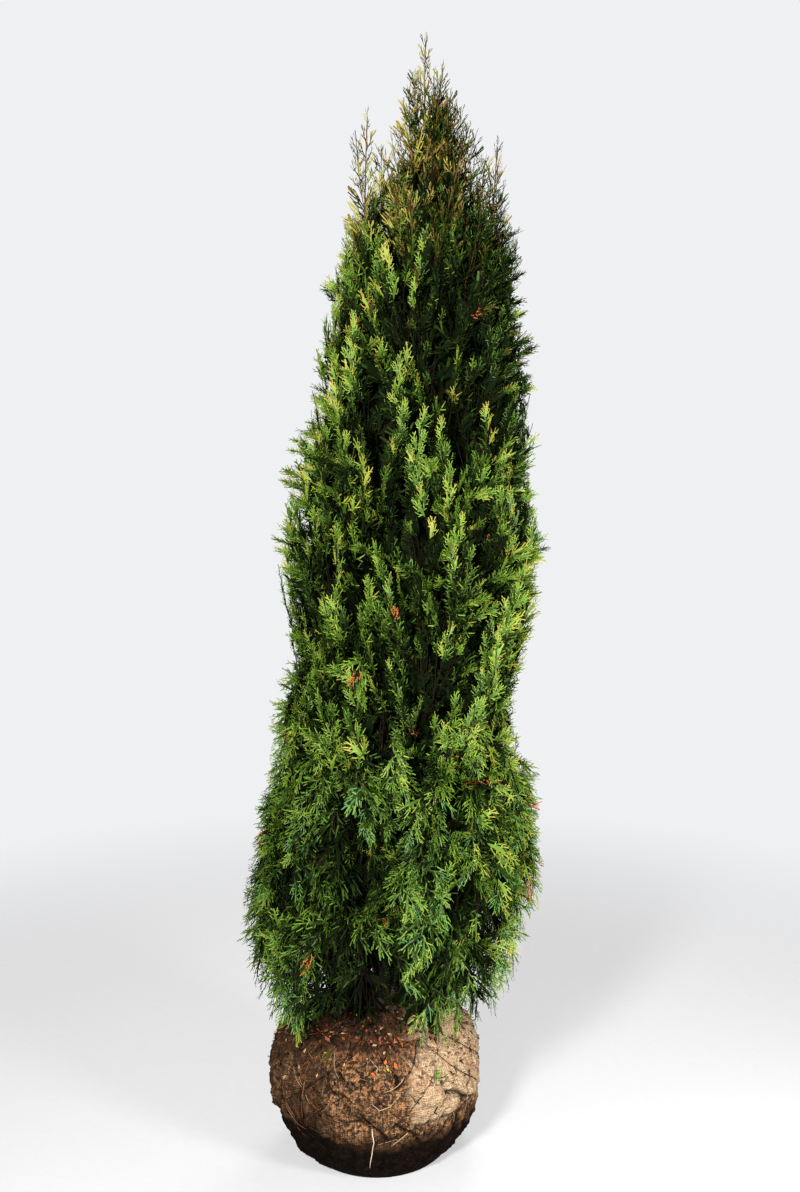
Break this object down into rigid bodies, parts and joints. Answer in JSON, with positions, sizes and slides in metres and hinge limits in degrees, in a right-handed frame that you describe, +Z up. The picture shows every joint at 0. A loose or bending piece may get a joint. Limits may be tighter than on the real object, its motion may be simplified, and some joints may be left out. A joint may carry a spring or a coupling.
{
  "type": "column thuja on a burlapped root ball",
  "caption": "Tall narrow evergreen conifer with several leading tips, standing on a round root ball wrapped in burlap and wire netting.",
  "frame": {"origin": "middle of the root ball's flat underside", "axes": "+Z up the plant; the camera's side of the plant faces -Y and the crown leans a little towards +X"},
  "size_m": [0.7334, 0.7078, 2.729],
  "materials": {
    "bark": "rough, stringy grey-brown bark",
    "foliage": "flat sprays of scale leaves, half matt",
    "burlap": "coarse woven jute, stained by soil, under thin rusty wire netting"
  },
  "bodies": {
    "root": {"bough_tier1_a": "bark", "bough_tier1_b": "bark", "bough_tier1_c": "bark", "bough_tier1_d": "bark", "bough_tier1_e": "bark", "bough_tier1_f": "bark", "bough_tier2_a": "bark", "bough_tier2_b": "bark", "bough_tier2_c": "bark", "bough_tier2_d": "bark", "bough_tier2_e": "bark", "bough_tier3_a": "bark", "bough_tier3_b": "bark", "bough_tier3_c": "bark", "bough_tier3_d": "bark", "bough_tier3_e": "bark", "bough_tier4_a": "bark", "bough_tier4_b": "bark", "bough_tier4_c": "bark", "bough_tier4_d": "bark", "bough_tier5_a": "bark", "bough_tier5_b": "bark", "bough_tier5_c": "bark", "bough_tier5_d": "bark", "foliage_tier1_a": "foliage", "foliage_tier1_b": "foliage", "foliage_tier1_c": "foliage", "foliage_tier1_d": "foliage", "foliage_tier1_e": "foliage", "foliage_tier1_f": "foliage", "foliage_tier2_a": "foliage", "foliage_tier2_b": "foliage", "foliage_tier2_c": "foliage", "foliage_tier2_d": "foliage", "foliage_tier2_e": "foliage", "foliage_tier3_a": "foliage", "foliage_tier3_b": "foliage", "foliage_tier3_c": "foliage", "foliage_tier3_d": "foliage", "foliage_tier3_e": "foliage", "foliage_tier4_a": "foliage", "foliage_tier4_b": "foliage", "foliage_tier4_c": "foliage", "foliage_tier4_d": "foliage", "foliage_tier5_a": "foliage", "foliage_tier5_b": "foliage", "foliage_tier5_c": "foliage", "foliage_tier5_d": "foliage", "foliage_top": "foliage", "root_ball": "burlap", "trunk": "bark"}
  },
  "joints": []
}
